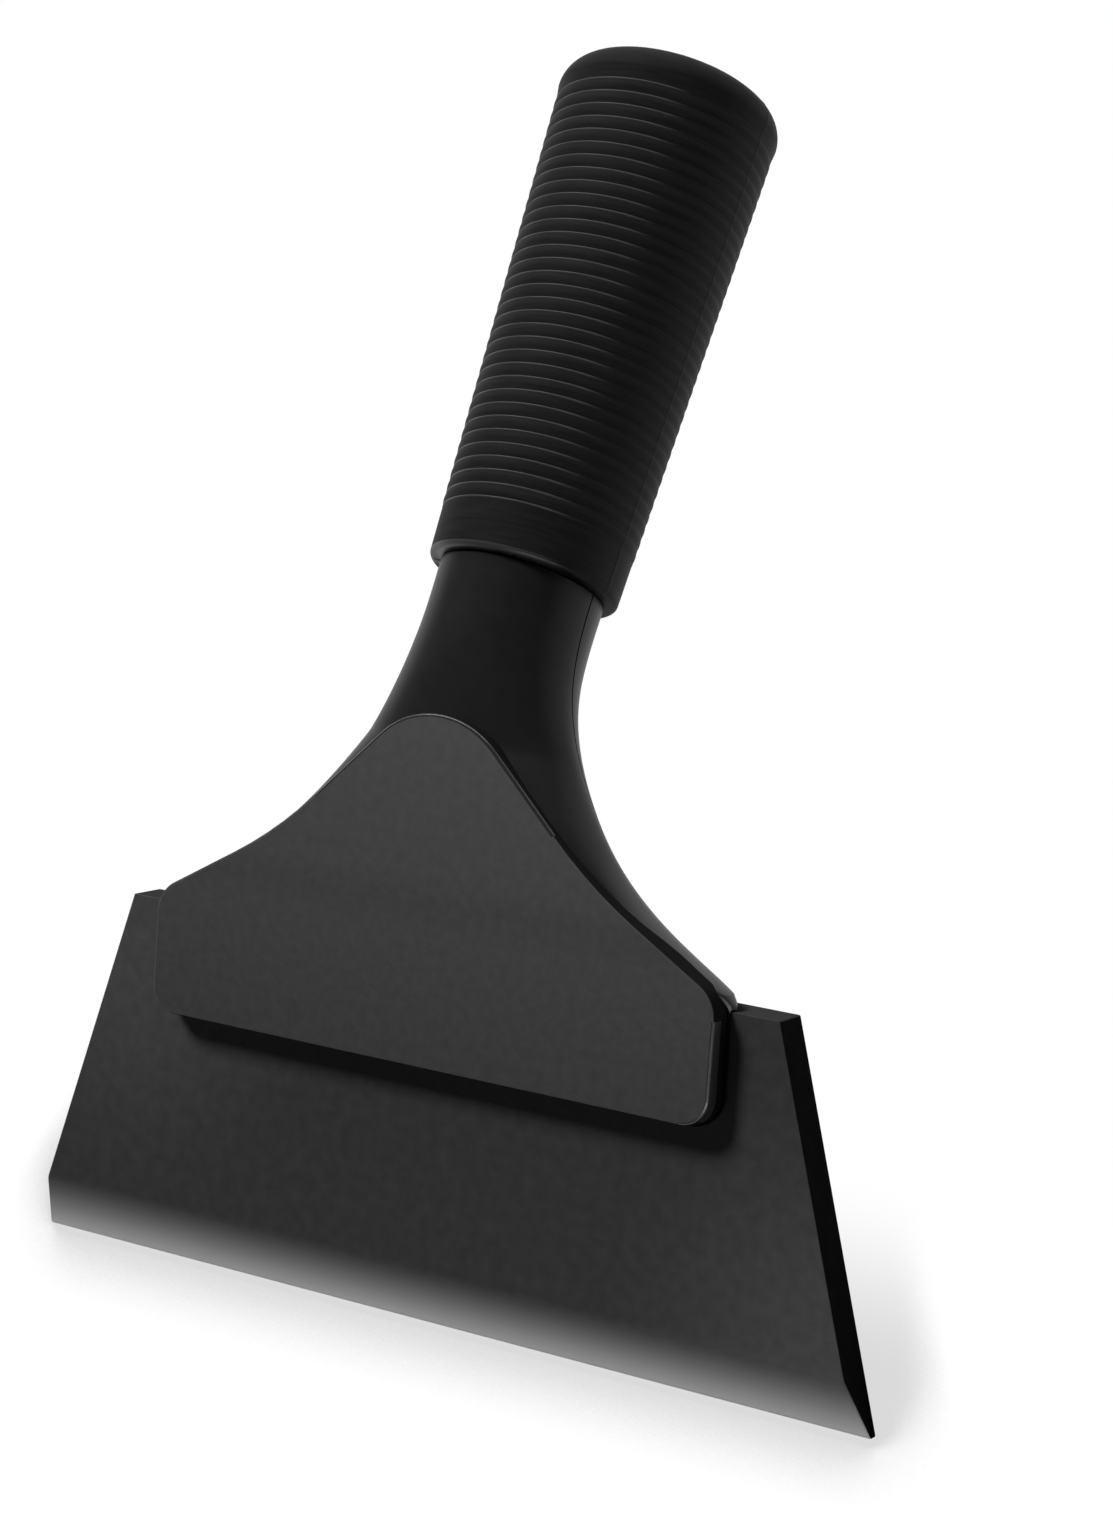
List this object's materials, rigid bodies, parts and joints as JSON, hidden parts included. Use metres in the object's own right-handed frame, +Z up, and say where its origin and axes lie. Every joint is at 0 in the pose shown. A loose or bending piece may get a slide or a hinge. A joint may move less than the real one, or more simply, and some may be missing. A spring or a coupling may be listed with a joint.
{
  "type": "window tint squeegee",
  "caption": "Hand squeegee for smoothing window film: a bevelled rubber blade clamped in a moulded plastic head on a leaning round grip with a ribbed rubber sleeve.",
  "frame": {"origin": "middle of the blade's back edge at its tip, where it rests on the table", "axes": "the tool lies on its back: +Z up from the table; +X to the right along the working edge, seen from above with the grip pointing away; +Y from the working edge towards the end of the grip"},
  "size_m": [0.15, 0.1942, 0.0406],
  "materials": {
    "blade_rubber": "moulded matt black, very finely mottled",
    "moulded_plastic": "black moulded nylon, satin",
    "grip_rubber": "soft black rubber, dull",
    "screw_steel": "blackened steel, slightly worn",
    "nut_brass": "plain machined metal"
  },
  "bodies": {
    "root": {"blade": "blade_rubber", "front_shell": "moulded_plastic", "back_shell": "moulded_plastic", "grip_sleeve": "grip_rubber", "clamp_screw_left": "screw_steel", "clamp_screw_middle": "screw_steel", "clamp_screw_right": "screw_steel", "clamp_nut_left": "nut_brass", "clamp_nut_middle": "nut_brass", "clamp_nut_right": "nut_brass", "neck_screw": "screw_steel", "spigot_screw": "screw_steel"}
  },
  "joints": []
}
